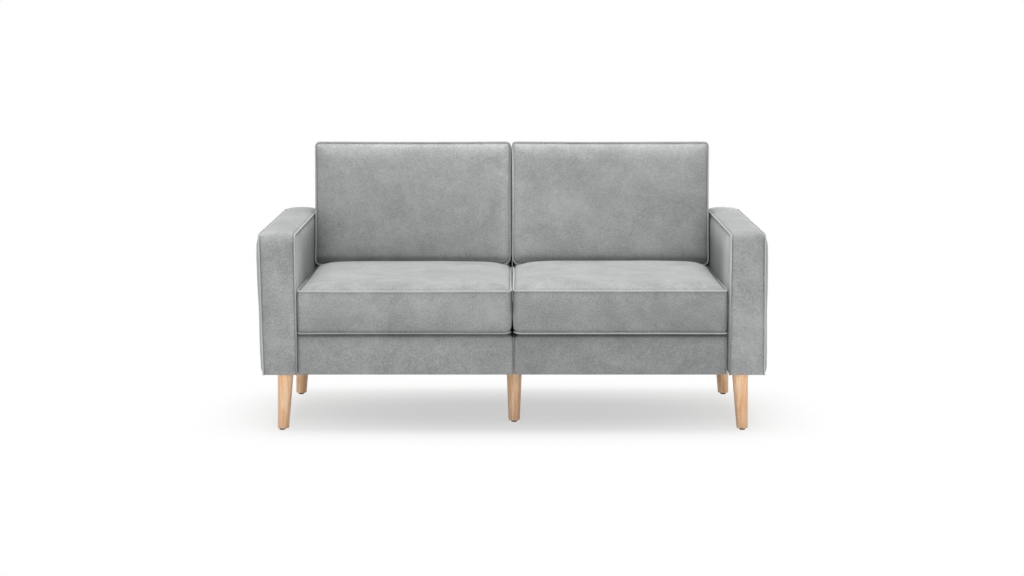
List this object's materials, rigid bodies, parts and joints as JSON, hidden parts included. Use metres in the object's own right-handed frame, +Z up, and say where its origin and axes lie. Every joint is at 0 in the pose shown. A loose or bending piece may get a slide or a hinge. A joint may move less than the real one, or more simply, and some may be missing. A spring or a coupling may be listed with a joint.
{
  "type": "two-seat sofa",
  "caption": "Low modular loveseat with box arms, loose box cushions edged with piping, short-pile velvet covers and slim turned wooden legs.",
  "frame": {"origin": "on the floor, under the middle of the overall box", "axes": "+Z up, -Y towards the front of the seat, +X to the right of someone who faces the sofa"},
  "size_m": [1.55, 0.851, 0.8459],
  "materials": {
    "velvet": "light grey short-pile velvet",
    "velvet_cushion": "light grey short-pile velvet over foam and fibre",
    "velvet_piping": "the same velvet round a cord",
    "foam": "open-cell upholstery foam",
    "frame_timber": "sawn softwood",
    "webbing": "woven elastic webbing",
    "dust_cloth": "black non-woven cloth",
    "leg_wood": "light beech with clear satin lacquer",
    "steel": "zinc-plated",
    "glide_plastic": "dark grey moulded plastic"
  },
  "bodies": {
    "frame": {"arm_cover_left": "velvet", "arm_cover_right": "velvet", "arm_piping_inner_left": "velvet_piping", "arm_piping_inner_right": "velvet_piping", "arm_piping_outer_left": "velvet_piping", "arm_piping_outer_right": "velvet_piping", "arm_foam_left": "foam", "arm_foam_right": "foam", "arm_frame_left": "frame_timber", "arm_frame_right": "frame_timber", "seat_base_cover_left": "velvet", "seat_base_cover_right": "velvet", "seat_frame_left": "frame_timber", "seat_frame_right": "frame_timber", "seat_springs_left": "steel", "seat_springs_right": "steel", "seat_deck_pad_left": "foam", "seat_deck_pad_right": "foam", "seat_dust_cover_left": "dust_cloth", "seat_dust_cover_right": "dust_cloth", "back_cover_left": "velvet", "back_cover_right": "velvet", "back_foam_left": "foam", "back_foam_right": "foam", "back_webbing_left": "webbing", "back_webbing_right": "webbing", "back_frame_left": "frame_timber", "back_frame_right": "frame_timber", "leg_front_left": "leg_wood", "leg_front_right": "leg_wood", "leg_front_centre": "leg_wood", "leg_rear_left": "leg_wood", "leg_rear_right": "leg_wood", "leg_rear_centre": "leg_wood", "leg_bolt_front_left": "steel", "leg_bolt_front_right": "steel", "leg_bolt_rear_left": "steel", "leg_bolt_rear_right": "steel", "leg_plate_front_centre": "steel", "leg_plate_rear_centre": "steel", "joining_plate_left": "steel", "joining_plate_right": "steel", "foot_glide_front_left": "glide_plastic", "foot_glide_front_right": "glide_plastic", "foot_glide_front_centre": "glide_plastic", "foot_glide_rear_left": "glide_plastic", "foot_glide_rear_right": "glide_plastic", "foot_glide_rear_centre": "glide_plastic"},
    "seat_cushion_left": {"seat_cushion_left": "velvet_cushion", "seat_piping_top_left": "velvet_piping", "seat_piping_bottom_left": "velvet_piping"},
    "seat_cushion_right": {"seat_cushion_right": "velvet_cushion", "seat_piping_top_right": "velvet_piping", "seat_piping_bottom_right": "velvet_piping"},
    "back_cushion_left": {"back_cushion_left": "velvet_cushion", "back_piping_front_left": "velvet_piping", "back_piping_rear_left": "velvet_piping"},
    "back_cushion_right": {"back_cushion_right": "velvet_cushion", "back_piping_front_right": "velvet_piping", "back_piping_rear_right": "velvet_piping"}
  },
  "joints": [
    {"name": "lift_seat_cushion_left", "type": "slide", "parent": "frame", "child": "seat_cushion_left", "axis": [0, 0, 1], "range_m": [0, 0.45]},
    {"name": "lift_seat_cushion_right", "type": "slide", "parent": "frame", "child": "seat_cushion_right", "axis": [0, 0, 1], "range_m": [0, 0.45]},
    {"name": "lift_back_cushion_left", "type": "slide", "parent": "seat_cushion_left", "child": "back_cushion_left", "axis": [0, 0.1219, 0.9925], "range_m": [0, 0.45]},
    {"name": "lift_back_cushion_right", "type": "slide", "parent": "seat_cushion_right", "child": "back_cushion_right", "axis": [0, 0.1219, 0.9925], "range_m": [0, 0.45]}
  ]
}
